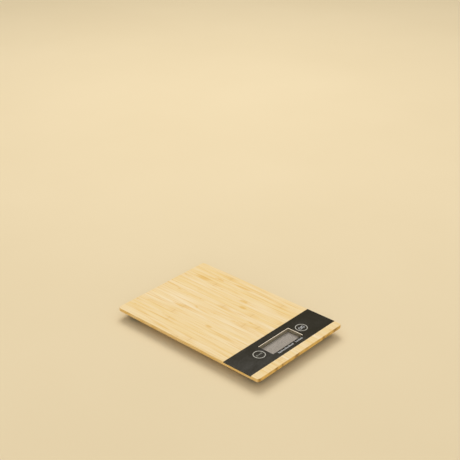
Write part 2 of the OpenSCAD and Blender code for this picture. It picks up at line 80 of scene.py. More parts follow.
# ---- Table and light ----
# A pale matt table top under the scale, a pale surround, one broad soft lamp high behind the scale's
# rear right corner and a fill lamp by the camera. Neither is where the glossy panel mirrors the camera.

MM = 0.001


def new_material(name):
    """A named material with a Principled shader: returns the material, its node tree and the shader."""
    material = bpy.data.materials.new(name)
    material.use_nodes = True
    return material, material.node_tree, material.node_tree.nodes["Principled BSDF"]


def join(tree, source, socket):
    """Gives a socket a value, or links it to another node's output."""
    if isinstance(source, bpy.types.NodeSocket):
        tree.links.new(source, socket)
    elif socket.type == "RGBA" and len(source) == 3:
        socket.default_value = (*source, 1)
    else:
        socket.default_value = source


def add_node(tree, kind, inputs=None, **settings):
    """Adds a node, with its settings and its inputs by name or number."""
    node = tree.nodes.new(kind)
    for key, value in settings.items():
        setattr(node, key, value)
    for key, value in (inputs or {}).items():
        join(tree, value, node.inputs[key])
    return node


def calc(tree, operation, *values, clamp=False):
    """The result of a Math node."""
    node = add_node(tree, "ShaderNodeMath", dict(enumerate(values)), operation=operation, use_clamp=clamp)
    return node.outputs[0]


def fade(tree, value, start, end):
    """1 where value is at start or beyond it, falling smoothly to 0 at end, on either side of start."""
    node = add_node(
        tree,
        "ShaderNodeMapRange",
        {"Value": value, "From Min": start, "From Max": end, "To Min": 1.0, "To Max": 0.0},
        interpolation_type="SMOOTHSTEP",
    )
    return node.outputs["Result"]


def blend_colour(tree, share, first, second, mode="MIX"):
    """Mixes two colours; share is how much of the second shows."""
    node = add_node(tree, "ShaderNodeMix", data_type="RGBA", blend_type=mode)
    join(tree, share, node.inputs[0])
    join(tree, first, node.inputs[6])
    join(tree, second, node.inputs[7])
    return node.outputs[2]


def stretched_noise(tree, place, stretch, detail=3.0, roughness=0.5, distortion=0.0):
    """Noise with a period of 1 / stretch metres along each axis."""
    scaled = add_node(tree, "ShaderNodeVectorMath", {0: place, 1: stretch}, operation="MULTIPLY")
    node = add_node(
        tree,
        "ShaderNodeTexNoise",
        {
            "Vector": scaled.outputs[0],
            "Scale": 1.0,
            "Detail": detail,
            "Roughness": roughness,
            "Distortion": distortion,
        },
    )
    return node.outputs["Fac"]


def around(tree, noise, low, high):
    """Turns a noise that gathers near one half into a value that runs from low to high."""
    node = add_node(
        tree,
        "ShaderNodeMapRange",
        {"Value": noise, "From Min": 0.3, "From Max": 0.7, "To Min": low, "To Max": high},
    )
    return node.outputs["Result"]


def raise_surface(tree, shader, height, distance):
    """Feeds a height into the shader's normal through a Bump node."""
    bump = add_node(tree, "ShaderNodeBump", {"Strength": 1.0, "Distance": distance, "Height": height})
    join(tree, bump.outputs["Normal"], shader.inputs["Normal"])


def object_place(tree):
    """The piece's own coordinates, in metres."""
    return add_node(tree, "ShaderNodeTexCoord").outputs["Object"]


def table_paint():
    """Matt paint, very slightly clouded."""
    material, tree, shader = new_material("table_paint")
    place = object_place(tree)
    cloud = around(tree, stretched_noise(tree, place, (3, 3, 3)), 0.0, 1.0)
    colour = blend_colour(tree, cloud, (0.77, 0.65, 0.44), (0.79, 0.67, 0.46))
    join(tree, colour, shader.inputs["Base Color"])
    shader.inputs["Roughness"].default_value = 0.85
    shader.inputs["Specular IOR Level"].default_value = 0.2
    raise_surface(tree, shader, stretched_noise(tree, place, (900, 900, 900)), 0.03 * MM)
    return material


half = 7000 * MM
table_corners = [(-half, -half, 0), (half, -half, 0), (half, half, 0), (-half, half, 0)]
table_mesh = bpy.data.meshes.new("table_top")
table_mesh.from_pydata(table_corners, [], [(0, 1, 2, 3)])
table_mesh.materials.append(table_paint())
table_top = bpy.data.objects.new("table_top", table_mesh)
bpy.context.scene.collection.objects.link(table_top)


def surround():
    """A pale surround like a light tent: bright overhead, dimmer halfway down, pale at the horizon."""
    world = bpy.data.worlds.new("pale_surround")
    world.use_nodes = True
    tree = world.node_tree
    place = add_node(tree, "ShaderNodeTexCoord").outputs["Generated"]
    rise = add_node(tree, "ShaderNodeSeparateXYZ", {0: place}).outputs["Z"]
    halfway_down = fade(tree, rise, 0.45, 0.8)
    colour = blend_colour(tree, halfway_down, (0.84, 0.82, 0.78), (0.25, 0.22, 0.13))
    colour = blend_colour(tree, fade(tree, rise, 0.08, 0.3), colour, (0.74, 0.64, 0.48))
    join(tree, colour, tree.nodes["Background"].inputs["Color"])
    bpy.context.scene.world = world


def lamp(name, heading, rise, distance, size, power, colour):
    """A square soft lamp that faces the platform."""
    data = bpy.data.lights.new(name, "AREA")
    data.shape = "SQUARE"
    data.size = size
    data.energy = power
    data.color = colour
    light = bpy.data.objects.new(name, data)
    bpy.context.scene.collection.objects.link(light)
    towards = direction(heading, rise)
    light.location = top_centre + distance * towards
    light.rotation_euler = towards.to_track_quat("Z", "Y").to_euler()


surround()
lamp("main_softbox", heading=45, rise=57, distance=1.8, size=1.1, power=14.5, colour=(1.0, 0.97, 0.92))
lamp("camera_fill", heading=226, rise=20, distance=2.2, size=1.6, power=14, colour=(1.0, 0.98, 0.96))
bpy.context.scene.view_settings.view_transform = "Standard"


# ---- Bamboo platform ----
# Flat-sawn bamboo strips glued side by side, planed, sanded and given a thin matt lacquer. Its upper
# edges are just broken with fine paper; the lower ones are routed round, so the board looks thin.


same_point = 0.001 * MM


def clean_copy(node):
    """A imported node's shape, with its doubled points and its flat faces' inner edges merged away."""
    still_flat = math.radians(1)
    shape = bmesh.new()
    shape.from_mesh(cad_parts[node].data)
    bmesh.ops.remove_doubles(shape, verts=shape.verts, dist=same_point)
    bmesh.ops.dissolve_limit(shape, angle_limit=still_flat, verts=shape.verts, edges=shape.edges)
    return shape


def anywhere(point):
    """The test that every point passes."""
    return True


def round_edges(shape, radius, segments=2, test=anywhere):
    """Rounds the sharp edges whose middle passes the test."""
    sharp_angle = math.radians(35)
    edges = [
        edge
        for edge in shape.edges
        if len(edge.link_faces) == 2
        and edge.calc_face_angle(0) > sharp_angle
        and test((edge.verts[0].co + edge.verts[1].co) / 2)
    ]
    bmesh.ops.bevel(
        shape,
        geom=edges,
        offset=radius,
        segments=segments,
        profile=0.5,
        affect="EDGES",
        clamp_overlap=True,
    )


def finished_piece(shape, name):
    """Makes a bmesh into a smooth-shaded piece that keeps its creases."""
    crease_angle = math.radians(32)
    mesh = bpy.data.meshes.new(name)
    shape.normal_update()
    shape.to_mesh(mesh)
    shape.free()
    mesh.polygons.foreach_set("use_smooth", [True] * len(mesh.polygons))
    mesh.set_sharp_from_angle(angle=crease_angle)
    piece = bpy.data.objects.new(name, mesh)
    bpy.context.scene.collection.objects.link(piece)
    flats_stay_flat = piece.modifiers.new("flats_stay_flat", "WEIGHTED_NORMAL")
    flats_stay_flat.keep_sharp = True
    return piece


def fit(piece, material, body, slot, *nodes):
    """Paints a piece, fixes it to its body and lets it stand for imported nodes."""
    piece.data.materials.append(material)
    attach(piece, body)
    if nodes:
        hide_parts(*nodes)


def softened(node, name, radius, segments=2):
    """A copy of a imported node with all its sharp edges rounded."""
    shape = clean_copy(node)
    round_edges(shape, radius, segments)
    return finished_piece(shape, name)


board_corner_r = 4 * MM
reach = 0.05 * MM


def on_outline(point):
    """True on the platform's outer wall."""
    past_x = max(abs(point.x) - (board_high.x - board_corner_r), 0)
    past_y = max(abs(point.y) - (board_high.y - board_corner_r), 0)
    return abs(math.hypot(past_x, past_y) - board_corner_r) < reach


def at_level(point, z):
    """True at a height, near enough."""
    return abs(point.z - z) < reach


def bamboo():
    """Strips side by side along X, with fibres, knots, honey patches and end grain."""
    strip_w = 7.9 * MM
    knot_pitch = 310 * MM
    dark_patches = ((46, 85, 5, 17), (-33, 1, 3, 7), (25, -1, 4, 8), (-22, 62, 2, 14), (60, 30, 3, 20))
    end_spots = ((-73, 5), (-44, 4), (-34, 3), (-8, 6), (40, 4), (62, 5))
    cream = (0.875, 0.745, 0.53)
    straw = (0.81, 0.60, 0.25)
    honey = (0.74, 0.455, 0.10)
    knot_brown = (0.55, 0.30, 0.09)
    glue_brown = (0.66, 0.42, 0.16)
    end_gold = (0.90, 0.60, 0.18)
    end_brown = (0.22, 0.09, 0.01)

    material, tree, shader = new_material("bamboo")
    place = object_place(tree)
    xyz = add_node(tree, "ShaderNodeSeparateXYZ", {0: place})
    x, y = xyz.outputs["X"], xyz.outputs["Y"]

    # which strip a point lies in, and random numbers of that strip's own
    drift = calc(tree, "MULTIPLY", stretched_noise(tree, place, (0, 4, 0), detail=0), 1.2 * MM)
    across = calc(tree, "DIVIDE", calc(tree, "ADD", x, drift), strip_w)
    strip = calc(tree, "FLOOR", across)
    in_strip = calc(tree, "FRACT", across)
    luck = add_node(tree, "ShaderNodeTexWhiteNoise", {"W": strip}, noise_dimensions="1D")
    tone = luck.outputs["Value"]
    shift = add_node(tree, "ShaderNodeSeparateColor", {0: luck.outputs["Color"]})

    # each strip is cut from another length of cane, so its grain is moved along
    moved_y = calc(tree, "ADD", y, calc(tree, "MULTIPLY", shift.outputs["Red"], 3.0))
    cane = add_node(
        tree, "ShaderNodeCombineXYZ", {"X": x, "Y": moved_y, "Z": xyz.outputs["Z"]}
    ).outputs[0]
    broad = around(tree, stretched_noise(tree, cane, (190, 15, 190), detail=4), 0, 1)
    streak = around(tree, stretched_noise(tree, cane, (520, 17, 520), detail=3), 0, 1)
    fibre = around(tree, stretched_noise(tree, cane, (1900, 40, 1900), detail=2), 0, 1)
    patch = stretched_noise(tree, cane, (60, 24, 60), detail=4, roughness=0.6)

    colour = blend_colour(tree, calc(tree, "MULTIPLY", tone, 0.55), cream, straw)
    colour = blend_colour(tree, calc(tree, "MULTIPLY", broad, 0.7), colour, straw)
    strong_streak = calc(tree, "POWER", streak, 3.0)
    colour = blend_colour(tree, calc(tree, "MULTIPLY", strong_streak, 0.7), colour, honey)
    fine = calc(tree, "MULTIPLY", calc(tree, "POWER", fibre, 2.0), 0.2)
    colour = blend_colour(tree, fine, colour, honey)
    patchy = calc(tree, "MULTIPLY", fade(tree, patch, 0.70, 0.60), calc(tree, "ADD", streak, 0.3))
    colour = blend_colour(tree, calc(tree, "MULTIPLY", patchy, 0.8), colour, honey)

    # this board's darkest patches: where each lies in mm, and its spread across and along the grain
    for patch_x, patch_y, spread_x, spread_y in dark_patches:
        off_x = calc(tree, "DIVIDE", calc(tree, "SUBTRACT", x, patch_x * MM), spread_x * MM)
        off_y = calc(tree, "DIVIDE", calc(tree, "SUBTRACT", y, patch_y * MM), spread_y * MM)
        off = add_node(tree, "ShaderNodeCombineXYZ", {"X": off_x, "Y": off_y}).outputs[0]
        far = add_node(tree, "ShaderNodeVectorMath", {0: off}, operation="LENGTH").outputs["Value"]
        near = calc(tree, "MULTIPLY", fade(tree, far, 0.2, 1.0), calc(tree, "ADD", streak, 0.5))
        colour = blend_colour(tree, calc(tree, "MULTIPLY", near, 0.75, clamp=True), colour, honey)

    # one knot per cane length: a thin brown line across the strip, with honey-coloured fibres about it
    bow = calc(tree, "MULTIPLY", stretched_noise(tree, place, (260, 0, 0), detail=1), 3.0 * MM)
    along = calc(tree, "DIVIDE", calc(tree, "ADD", moved_y, bow), knot_pitch)
    from_knot = calc(tree, "ABSOLUTE", calc(tree, "SUBTRACT", calc(tree, "FRACT", along), 0.5))
    from_knot = calc(tree, "MULTIPLY", from_knot, knot_pitch)
    flare = calc(tree, "MULTIPLY", fade(tree, from_knot, 1 * MM, 15 * MM), calc(tree, "ADD", streak, 0.25))
    line = fade(tree, from_knot, 0.2 * MM, 1.3 * MM)
    colour = blend_colour(tree, calc(tree, "MULTIPLY", flare, 0.35), colour, honey)
    colour = blend_colour(tree, calc(tree, "MULTIPLY", line, 0.22), colour, knot_brown)

    # glue lines
    edge = calc(tree, "MINIMUM", in_strip, calc(tree, "SUBTRACT", 1.0, in_strip))
    glue = fade(tree, edge, 0.008, 0.03)
    colour = blend_colour(tree, calc(tree, "MULTIPLY", glue, 0.35), colour, glue_brown)

    # end grain on the faces that look along Y: gold, with brown fibre ends, patches and a few dark spots
    facing = add_node(tree, "ShaderNodeTexCoord").outputs["Normal"]
    facing_y = add_node(tree, "ShaderNodeSeparateXYZ", {0: facing}).outputs["Y"]
    end_face = fade(tree, calc(tree, "ABSOLUTE", facing_y), 0.8, 0.3)
    flat = add_node(tree, "ShaderNodeVectorMath", {0: place, 1: (1500, 0, 1500)}, operation="MULTIPLY")
    dots = add_node(tree, "ShaderNodeTexVoronoi", {"Vector": flat.outputs[0], "Scale": 1.0})
    dot = fade(tree, dots.outputs["Distance"], 0.15, 0.42)
    end_patch = around(tree, stretched_noise(tree, place, (70, 0, 150), detail=4, roughness=0.6), 0, 1)
    end_colour = blend_colour(tree, calc(tree, "MULTIPLY", tone, 0.3), end_gold, honey)
    end_colour = blend_colour(tree, calc(tree, "MULTIPLY", dot, 0.4), end_colour, end_brown)
    dark_patch = calc(tree, "POWER", end_patch, 2.0)
    end_colour = blend_colour(tree, calc(tree, "MULTIPLY", dark_patch, 0.85), end_colour, end_brown)
    for spot_x, spread in end_spots:
        off = calc(tree, "ABSOLUTE", calc(tree, "SUBTRACT", x, spot_x * MM))
        near = calc(tree, "MULTIPLY", fade(tree, off, 0, spread * MM), 0.6)
        end_colour = blend_colour(tree, near, end_colour, end_brown)
    colour = blend_colour(tree, end_face, colour, end_colour)

    # the long edges are the cane's harder outer wood, with a warmer tone
    facing_x = add_node(tree, "ShaderNodeSeparateXYZ", {0: facing}).outputs["X"]
    side_face = fade(tree, calc(tree, "ABSOLUTE", facing_x), 0.8, 0.3)
    side_patch = around(tree, stretched_noise(tree, place, (0, 45, 150), detail=3), 0.15, 0.85)
    colour = blend_colour(tree, calc(tree, "MULTIPLY", side_face, side_patch), colour, honey)
    join(tree, colour, shader.inputs["Base Color"])

    # lacquer: a little shinier on the hard pale fibres, duller in the end grain
    rough = calc(tree, "ADD", calc(tree, "MULTIPLY", fibre, 0.10), 0.42)
    rough = calc(tree, "ADD", rough, calc(tree, "MULTIPLY", end_face, 0.22))
    join(tree, rough, shader.inputs["Roughness"])
    shader.inputs["Specular IOR Level"].default_value = 0.35
    height = calc(tree, "SUBTRACT", calc(tree, "MULTIPLY", fibre, -0.5), glue)
    height = calc(tree, "SUBTRACT", height, calc(tree, "MULTIPLY", dot, end_face))
    raise_surface(tree, shader, height, 0.04 * MM)
    return material


sanded_r, routed_r, broken_edge = 0.6 * MM, 1.5 * MM, 0.12 * MM
board_shape = clean_copy("platform_board")
round_edges(board_shape, sanded_r, 4, lambda p: on_outline(p) and at_level(p, board_high.z))
round_edges(board_shape, routed_r, 6, lambda p: on_outline(p) and at_level(p, board_low.z))
round_edges(board_shape, broken_edge, 1, lambda p: not on_outline(p))
board = finished_piece(board_shape, "bamboo_platform")
fit(board, bamboo(), "platform", "bamboo", "platform_board")


def window_wall_painted_shade():
    """The window's milled walls, coloured a dark grey brown as painted shade for the recess they line, with
    the milling's fine fibres.
    """
    material, tree, shader = new_material("window_wall_painted_shade")
    fibre = around(tree, stretched_noise(tree, object_place(tree), (1500, 90, 600), detail=3), 0, 1)
    colour = blend_colour(tree, fibre, (0.36, 0.32, 0.23), (0.26, 0.22, 0.15))
    join(tree, colour, shader.inputs["Base Color"])
    join(tree, calc(tree, "ADD", calc(tree, "MULTIPLY", fibre, 0.15), 0.65), shader.inputs["Roughness"])
    raise_surface(tree, shader, fibre, 0.04 * MM)
    return material


panel_low, panel_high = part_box("control_panel")
panel_centre = (panel_low + panel_high) / 2
lens_low, lens_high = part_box("display_lens")
window_reach = (lens_high - lens_low) / 2 + Vector((0.6 * MM, 0.6 * MM, 0))


def near_window(point):
    """True inside the display window's opening and at its edges."""
    middle = point - panel_centre
    return abs(middle.x) < window_reach.x and abs(middle.y) < window_reach.y


def is_upright(face):
    """True for the window's walls."""
    return abs(face.normal.z) < 0.5


def is_sloping(face):
    """True for the window's chamfer."""
    return 0.3 < face.normal.z < 0.9


# The window's upright walls take the second material: bamboo darkened into painted shade.
board.data.materials.append(window_wall_painted_shade())
for face in board.data.polygons:
    if near_window(face.center) and is_upright(face):
        face.material_index = 1


# ---- Control panel ----
# A strip of black acrylic, polished on its face, laser cut and taped into the platform's rebate. The
# window's upper edge is chamfered and a little frosted; its pale cream colour is a painted highlight.


def new_group(name, inputs, outputs):
    """A shader node group: inputs and outputs are lists of (label, kind, value)."""
    group = bpy.data.node_groups.new(name, "ShaderNodeTree")
    for label, kind, value in inputs:
        group.interface.new_socket(label, in_out="INPUT", socket_type=kind).default_value = value
    for label, kind in outputs:
        group.interface.new_socket(label, in_out="OUTPUT", socket_type=kind)
    return group, group.nodes.new("NodeGroupInput"), group.nodes.new("NodeGroupOutput")


def place_group(tree, group, **inputs):
    """Puts a node group in a material; an input's underscores stand for spaces."""
    node = tree.nodes.new("ShaderNodeGroup")
    node.node_tree = group
    for key, value in inputs.items():
        join(tree, value, node.inputs[key.replace("_", " ")])
    return node


def make_handling_marks():
    """Fine wiping scratches and a little dust, for glossy faces that are handled."""
    group, given, out = new_group(
        "handling_marks",
        [
            ("Colour", "NodeSocketColor", (0, 0, 0, 1)),
            ("Dust Colour", "NodeSocketColor", (0.5, 0.48, 0.44, 1)),
            ("Dust", "NodeSocketFloat", 0.04),
            ("Roughness", "NodeSocketFloat", 0.1),
            ("Haze", "NodeSocketFloat", 0.1),
        ],
        [
            ("Colour", "NodeSocketColor"),
            ("Roughness", "NodeSocketFloat"),
            ("Height", "NodeSocketFloat"),
        ],
    )
    place = object_place(group)
    speck = stretched_noise(group, place, (2600, 2600, 2600), detail=1)
    speck = fade(group, calc(group, "SUBTRACT", 1.0, speck), 0.24, 0.34)
    cloud = around(group, stretched_noise(group, place, (45, 70, 45), detail=4), 0, 1)
    scratch = stretched_noise(group, place, (35, 5200, 35), detail=1, distortion=0.4)
    scratch = fade(group, calc(group, "SUBTRACT", 1.0, scratch), 0.22, 0.34)
    dusty = calc(group, "MULTIPLY", calc(group, "MULTIPLY", speck, cloud), given.outputs["Dust"])
    colour = blend_colour(group, dusty, given.outputs["Colour"], given.outputs["Dust Colour"])
    join(group, colour, out.inputs["Colour"])
    haze = calc(group, "MULTIPLY", calc(group, "ADD", cloud, scratch), given.outputs["Haze"])
    join(group, calc(group, "ADD", given.outputs["Roughness"], haze), out.inputs["Roughness"])
    join(group, calc(group, "MULTIPLY", scratch, -1.0), out.inputs["Height"])
    return group


handling_marks = make_handling_marks()


def gloss_black(name, colour):
    """Polished black acrylic."""
    material, tree, shader = new_material(name)
    marks = place_group(tree, handling_marks, Colour=colour, Dust=0.2, Roughness=0.10, Haze=0.06)
    join(tree, marks.outputs["Colour"], shader.inputs["Base Color"])
    join(tree, marks.outputs["Roughness"], shader.inputs["Roughness"])
    raise_surface(tree, shader, marks.outputs["Height"], 0.002 * MM)
    shader.inputs["IOR"].default_value = 1.49
    return material


def cut_acrylic_painted_highlight():
    """The window's frosted chamfer, with the cutter's fine ripples, painted pale cream: a painted highlight
    for the light the cut edge catches and carries.
    """
    material, tree, shader = new_material("cut_acrylic_painted_highlight")
    place = object_place(tree)
    ripple = around(tree, stretched_noise(tree, place, (2600, 2600, 0), detail=1), 0, 1)
    colour = blend_colour(tree, ripple, (0.90, 0.76, 0.58), (0.98, 0.88, 0.72))
    join(tree, colour, shader.inputs["Base Color"])
    join(tree, calc(tree, "ADD", calc(tree, "MULTIPLY", ripple, 0.2), 0.3), shader.inputs["Roughness"])
    raise_surface(tree, shader, ripple, 0.02 * MM)
    return material


panel_shape = clean_copy("control_panel")
window_chamfer = 0.45 * MM
round_edges(panel_shape, window_chamfer, 1, lambda p: near_window(p) and at_level(p, panel_high.z))
round_edges(panel_shape, broken_edge, 2, lambda p: not near_window(p))
panel = finished_piece(panel_shape, "gloss_panel")
fit(panel, gloss_black("panel_black", (0.009, 0.007, 0.003)), "platform", "panel_black", "control_panel")
# The window's chamfer faces take the pale cream material, a painted highlight.
panel.data.materials.append(cut_acrylic_painted_highlight())
for face in panel.data.polygons:
    if near_window(face.center) and is_sloping(face):
        face.material_index = 1


def tape_white():
    """White foam tape, a little creased."""
    material, tree, shader = new_material("tape_white")
    crease = around(tree, stretched_noise(tree, object_place(tree), (60, 300, 60), detail=3), 0, 1)
    colour = blend_colour(tree, crease, (0.74, 0.72, 0.66), (0.82, 0.81, 0.77))
    join(tree, colour, shader.inputs["Base Color"])
    join(tree, calc(tree, "ADD", calc(tree, "MULTIPLY", crease, 0.2), 0.4), shader.inputs["Roughness"])
    raise_surface(tree, shader, crease, 0.03 * MM)
    return material


tape = softened("panel_tape", "panel_tape_strip", 0.03 * MM, 1)
fit(tape, tape_white(), "platform", "tape", "panel_tape")


# ---- Display ----
# A clear acrylic pane closes the window; below it a reflective LCD: two thin glasses with a grey
# polariser, a silvery film, a white carrier and two striped rubber connectors. Foam seals the frame.


def paint(node, material):
    """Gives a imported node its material, in place."""
    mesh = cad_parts[node].data
    mesh.materials.clear()
    mesh.materials.append(material)


def clear_pane():
    """Clear acrylic: see-through face on, more mirror-like at a glancing angle."""
    material, tree, shader = new_material("clear_pane")
    grey = (0.10, 0.10, 0.10)
    marks = place_group(tree, handling_marks, Colour=grey, Dust=0.15, Roughness=0.03, Haze=0.04)
    join(tree, marks.outputs["Colour"], shader.inputs["Base Color"])
    join(tree, marks.outputs["Roughness"], shader.inputs["Roughness"])
    raise_surface(tree, shader, marks.outputs["Height"], 0.001 * MM)
    glance = add_node(tree, "ShaderNodeLayerWeight", {"Blend": 0.35}).outputs["Fresnel"]
    join(tree, calc(tree, "ADD", calc(tree, "MULTIPLY", glance, 0.4), 0.05), shader.inputs["Alpha"])
    return material


def display_glass(name, colour, streak_colour):
    """A polariser on glass: nearly even grey, with the faint streaks of its stretched film."""
    material, tree, shader = new_material(name)
    streak = around(tree, stretched_noise(tree, object_place(tree), (900, 60, 900), detail=2), 0, 1)
    join(tree, blend_colour(tree, streak, colour, streak_colour), shader.inputs["Base Color"])
    join(tree, calc(tree, "ADD", calc(tree, "MULTIPLY", streak, 0.04), 0.3), shader.inputs["Roughness"])
    raise_surface(tree, shader, streak, 0.0003 * MM)
    return material


def make_moulded_skin():
    """Spark-eroded mould texture with rubbed patches, for moulded plastic and rubber."""
    group, given, out = new_group(
        "moulded_skin",
        [
            ("Colour", "NodeSocketColor", (0, 0, 0, 1)),
            ("Rubbed Colour", "NodeSocketColor", (0.1, 0.1, 0.1, 1)),
            ("Roughness", "NodeSocketFloat", 0.5),
            ("Grains per Metre", "NodeSocketFloat", 4000),
        ],
        [
            ("Colour", "NodeSocketColor"),
            ("Roughness", "NodeSocketFloat"),
            ("Height", "NodeSocketFloat"),
        ],
    )
    place = object_place(group)
    spark = add_node(
        group,
        "ShaderNodeTexNoise",
        {"Vector": place, "Scale": given.outputs["Grains per Metre"], "Detail": 2},
    ).outputs["Fac"]
    rub = stretched_noise(group, place, (110, 110, 160), detail=4, roughness=0.6)
    rub = around(group, rub, 0, 1)
    join(
        group,
        blend_colour(group, rub, given.outputs["Colour"], given.outputs["Rubbed Colour"]),
        out.inputs["Colour"],
    )
    change = calc(group, "MULTIPLY", calc(group, "SUBTRACT", spark, rub), 0.15)
    join(group, calc(group, "ADD", given.outputs["Roughness"], change), out.inputs["Roughness"])
    join(group, spark, out.inputs["Height"])
    return group


moulded_skin = make_moulded_skin()


def moulded(name, colour, rubbed, roughness=0.5, grains=4000, relief=0.02 * MM):
    """Moulded plastic or rubber: grains to the metre, and how high they stand."""
    material, tree, shader = new_material(name)
    skin = place_group(tree, moulded_skin, Colour=colour, Rubbed_Colour=rubbed)
    skin.inputs["Roughness"].default_value = roughness
    skin.inputs["Grains per Metre"].default_value = grains
    join(tree, skin.outputs["Colour"], shader.inputs["Base Color"])
    join(tree, skin.outputs["Roughness"], shader.inputs["Roughness"])
    raise_surface(tree, shader, skin.outputs["Height"], relief)
    return material


def striped_rubber():
    """Thin black carbon layers between grey ones, about ten to the millimetre."""
    material, tree, shader = new_material("striped_rubber")
    place = object_place(tree)
    x = add_node(tree, "ShaderNodeSeparateXYZ", {0: place}).outputs["X"]
    layer_t = 0.05 * MM
    layer = calc(tree, "DIVIDE", calc(tree, "PINGPONG", x, layer_t), layer_t)
    colour = blend_colour(tree, layer, (0.02, 0.02, 0.02), (0.22, 0.21, 0.20))
    join(tree, colour, shader.inputs["Base Color"])
    join(tree, calc(tree, "ADD", calc(tree, "MULTIPLY", layer, 0.2), 0.5), shader.inputs["Roughness"])
    raise_surface(tree, shader, stretched_noise(tree, place, (3000, 3000, 3000)), 0.01 * MM)
    return material


def make_plated_metal():
    """Drawn or rolled metal: fine lines along one way, with a little tarnish."""
    group, given, out = new_group(
        "plated_metal",
        [
            ("Colour", "NodeSocketColor", (0.7, 0.7, 0.7, 1)),
            ("Tarnish Colour", "NodeSocketColor", (0.5, 0.5, 0.5, 1)),
            ("Roughness", "NodeSocketFloat", 0.25),
            ("Line Stretch", "NodeSocketVector", (300, 6000, 300)),
        ],
        [
            ("Colour", "NodeSocketColor"),
            ("Roughness", "NodeSocketFloat"),
            ("Height", "NodeSocketFloat"),
        ],
    )
    place = object_place(group)
    line = around(group, stretched_noise(group, place, given.outputs["Line Stretch"], detail=2), 0, 1)
    cloud = around(group, stretched_noise(group, place, (260, 260, 260), detail=3), 0, 1)
    tarnish = calc(group, "MULTIPLY", cloud, calc(group, "ADD", calc(group, "MULTIPLY", line, 0.4), 0.3))
    colour = blend_colour(group, tarnish, given.outputs["Colour"], given.outputs["Tarnish Colour"])
    join(group, colour, out.inputs["Colour"])
    change = calc(group, "MULTIPLY", calc(group, "ADD", line, cloud), 0.09)
    join(group, calc(group, "ADD", given.outputs["Roughness"], change), out.inputs["Roughness"])
    join(group, line, out.inputs["Height"])
    return group


plated_metal = make_plated_metal()


def metal(name, colour, tarnish, roughness=0.25, lines=(300, 6000, 300)):
    """Plated or plain sheet metal; lines says how fine the drawing lines are along each axis."""
    material, tree, shader = new_material(name)
    skin = place_group(tree, plated_metal, Colour=colour, Tarnish_Colour=tarnish)
    skin.inputs["Roughness"].default_value = roughness
    skin.inputs["Line Stretch"].default_value = lines
    join(tree, skin.outputs["Colour"], shader.inputs["Base Color"])
    join(tree, skin.outputs["Roughness"], shader.inputs["Roughness"])
    raise_surface(tree, shader, skin.outputs["Height"], 0.002 * MM)
    shader.inputs["Metallic"].default_value = 1.0
    return material


paint("display_lens", clear_pane())
front_polariser = display_glass("lcd_front_polariser", (0.555, 0.50, 0.44), (0.562, 0.507, 0.447))
rear_polariser = display_glass("lcd_rear_polariser", (0.30, 0.31, 0.26), (0.33, 0.34, 0.29))
paint("lcd_front_glass", front_polariser)
paint("lcd_rear_glass", rear_polariser)
paint("lcd_reflector", metal("reflector_film", (0.75, 0.75, 0.74), (0.62, 0.62, 0.62), 0.3))
paint("zebra_strips", striped_rubber())
paint("display_gasket", moulded("black_foam", (0.015, 0.015, 0.015), (0.03, 0.03, 0.03), 0.9, 2200, 0.2 * MM))
carrier = softened("lcd_frame", "display_carrier", 0.2 * MM)
white_moulding = moulded("white_moulding", (0.78, 0.77, 0.73), (0.70, 0.69, 0.64), 0.45)
fit(carrier, white_moulding, "platform", "moulding_white", "lcd_frame")


# ---- Keys ----
# Two caps moulded in gloss black plastic, flush with the panel, each on the plunger of a switch below
# it. Their marks are pad-printed: a ring round each cap, arrows on the unit key, a power mark and a
# zero on the tare key.

key_black = gloss_black("key_black", (0.011, 0.009, 0.005))
plunger_white = moulded("plunger_white", (0.80, 0.78, 0.70), (0.70, 0.68, 0.60), 0.4)


def print_ink(name, colour, thin_colour):
    """Printing ink: a slightly uneven film through which the black shows a little."""
    material, tree, shader = new_material(name)
    thin = around(tree, stretched_noise(tree, object_place(tree), (1500, 1500, 1500), detail=2), 0, 1)
    join(tree, blend_colour(tree, thin, colour, thin_colour), shader.inputs["Base Color"])
    join(tree, calc(tree, "ADD", calc(tree, "MULTIPLY", thin, 0.15), 0.4), shader.inputs["Roughness"])
    raise_surface(tree, shader, thin, 0.005 * MM)
    return material


ink_below = 0.02 * MM
ink_above = 0.03 * MM


def add_stroke(shape, points, width, closed=False):
    """Adds a raised line of ink along points on the panel's face."""
    count = len(points)
    sections = []
    for i, point in enumerate(points):
        here = Vector(point)
        before = Vector(points[i - 1]) if closed or i > 0 else None
        after = Vector(points[(i + 1) % count]) if closed or i < count - 1 else None
        ways = []
        if before is not None:
            ways.append((here - before).normalized())
        if after is not None:
            ways.append((after - here).normalized())
        way = (ways[0] + ways[-1]).normalized()
        side = Vector((-way.y, way.x)) * width / 2 / way.dot(ways[0])
        left, right = here + side, here - side
        bottom, top = panel_high.z - ink_below, panel_high.z + ink_above
        corners = ((left, bottom), (right, bottom), (right, top), (left, top))
        sections.append([shape.verts.new((flat.x, flat.y, z)) for flat, z in corners])
    spans = count if closed else count - 1
    for i in range(spans):
        start, end = sections[i], sections[(i + 1) % count]
        for k in range(4):
            n = (k + 1) % 4
            shape.faces.new((start[k], end[k], end[n], start[n]))
    if not closed:
        shape.faces.new(sections[0])
        shape.faces.new(reversed(sections[-1]))


def arc(centre, radius_x, radius_y, start, end, count):
    """Points along an oval arc, from start to end in degrees."""
    cx, cy = centre
    angles = [math.radians(start + (end - start) * i / count) for i in range(count + 1)]
    return [(cx + radius_x * math.cos(a), cy + radius_y * math.sin(a)) for a in angles]


def printed_piece(shape, name):
    """Makes lines of ink into a piece, with every face turned outwards."""
    bmesh.ops.recalc_face_normals(shape, faces=shape.faces)
    return finished_piece(shape, name)


def key_centre(node):
    """The middle of a key's box."""
    low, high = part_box(node)
    return (low + high) / 2


ring_r = 7.0 * MM
ring_line = 0.85 * MM
icon_line = 0.5 * MM


def key_ring(body):
    """The ring printed round a key's cap."""
    centre = key_centre(body)
    shape = bmesh.new()
    circle = arc((centre.x, centre.y), ring_r, ring_r, 0, 360, 64)[:-1]
    add_stroke(shape, circle, ring_line, closed=True)
    return printed_piece(shape, body + "_ring")


